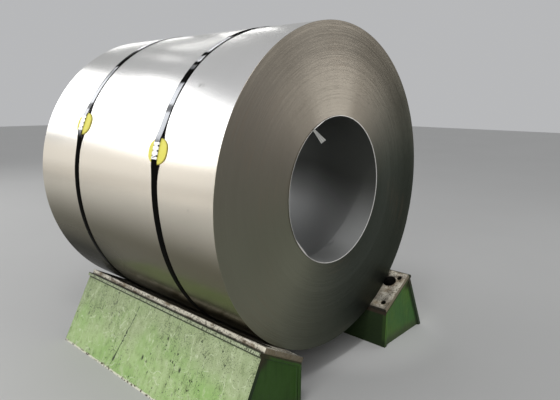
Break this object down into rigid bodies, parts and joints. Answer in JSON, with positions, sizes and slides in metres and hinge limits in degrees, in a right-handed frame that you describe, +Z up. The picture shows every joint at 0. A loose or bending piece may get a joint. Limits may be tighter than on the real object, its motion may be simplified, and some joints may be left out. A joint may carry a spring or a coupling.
{
  "type": "steel coil",
  "caption": "Wide strip steel coil with a round bore, held by flat straps with crimped seals, lying on a pair of sloped saddle chocks.",
  "frame": {"origin": "on the floor, in the middle of the whole object: midway between the chocks, and midway between the chocks' near end and the coil's far end", "axes": "+Z up, +Y along the coil's axis away from the end that shows in the picture, +X to the right seen from that end"},
  "size_m": [1.3764, 1.336, 1.4763],
  "materials": {
    "strip_steel": "satin cold-rolled steel with fine grain along the strip",
    "strap_steel": "black waxed strapping steel, half gloss",
    "seal_steel": "bright galvanised sheet",
    "pad_plastic": "moulded yellow plastic",
    "tab_paper": "pale creased paper tape",
    "chock_paint": "worn light green machine enamel",
    "wear_plate": "worn beige liner with dark grime"
  },
  "bodies": {
    "root": {"coil": "strip_steel", "strap_front": "strap_steel", "strap_rear": "strap_steel", "seal_front": "seal_steel", "seal_rear": "seal_steel", "pad_front": "pad_plastic", "pad_rear": "pad_plastic", "tape_tab": "tab_paper", "chock_left": "chock_paint", "chock_right": "chock_paint", "wear_plate_left": "wear_plate", "wear_plate_right": "wear_plate"}
  },
  "joints": []
}
